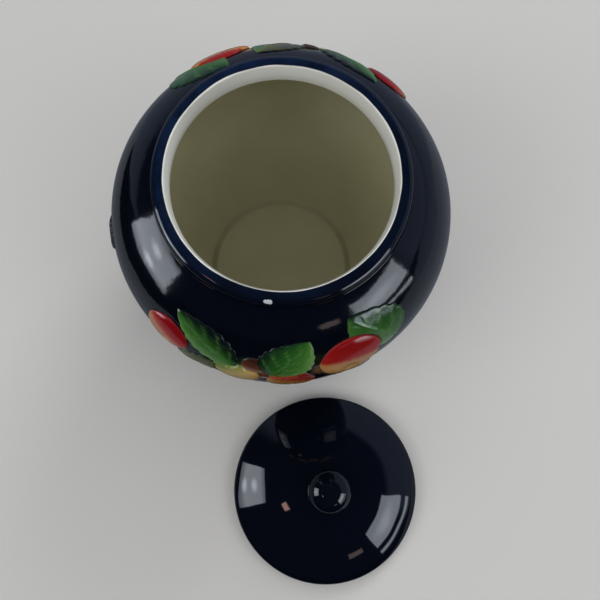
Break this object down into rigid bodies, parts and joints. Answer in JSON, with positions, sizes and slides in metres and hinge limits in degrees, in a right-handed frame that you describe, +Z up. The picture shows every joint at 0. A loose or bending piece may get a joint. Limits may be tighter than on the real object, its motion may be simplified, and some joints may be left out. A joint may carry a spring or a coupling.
{
  "type": "biscuit jar",
  "caption": "Round-bellied glazed earthenware biscuit jar with a rolled rim, fruit and leaf sprigs on the front and back, and a domed lid with a ball knob that lifts off.",
  "frame": {"origin": "centre of the jar's foot ring, on the surface the jar and the lid stand on", "axes": "+Z up along the jar's axis and out of its mouth; the front garland faces -Y; the lid lies in front of the jar"},
  "size_m": [0.2022, 0.3352, 0.2037],
  "materials": {
    "cobalt_glaze": "glossy dark blue glaze over white earthenware",
    "red_glaze": "hand-painted red under clear glaze",
    "yellow_glaze": "hand-painted ochre yellow under clear glaze",
    "plum_glaze": "hand-painted plum brown under clear glaze",
    "green_glaze": "hand-painted leaf green under clear glaze",
    "dark_green_glaze": "hand-painted dark green under clear glaze"
  },
  "bodies": {
    "jar": {"jar_body": "cobalt_glaze", "front_apple_left": "red_glaze", "front_apple_right": "red_glaze", "front_pear": "yellow_glaze", "front_peach": "yellow_glaze", "front_plum": "plum_glaze", "front_leaf_left": "green_glaze", "front_leaf_middle": "green_glaze", "front_leaf_right": "green_glaze", "front_leaf_low_left": "dark_green_glaze", "front_leaf_low_right": "dark_green_glaze", "back_apple_left": "red_glaze", "back_apple_right": "red_glaze", "back_pear": "yellow_glaze", "back_peach": "yellow_glaze", "back_plum": "plum_glaze", "back_leaf_left": "green_glaze", "back_leaf_middle": "green_glaze", "back_leaf_right": "green_glaze", "back_leaf_low_left": "dark_green_glaze", "back_leaf_low_right": "dark_green_glaze", "side_leaf": "dark_green_glaze"},
    "lid": {"lid": "cobalt_glaze", "lid_knob": "cobalt_glaze"}
  },
  "joints": [
    {"name": "lid_lift", "type": "slide", "parent": "jar", "child": "lid", "axis": [0.0333, -0.1704, 0.9848], "range_m": [0, 0.28]}
  ]
}
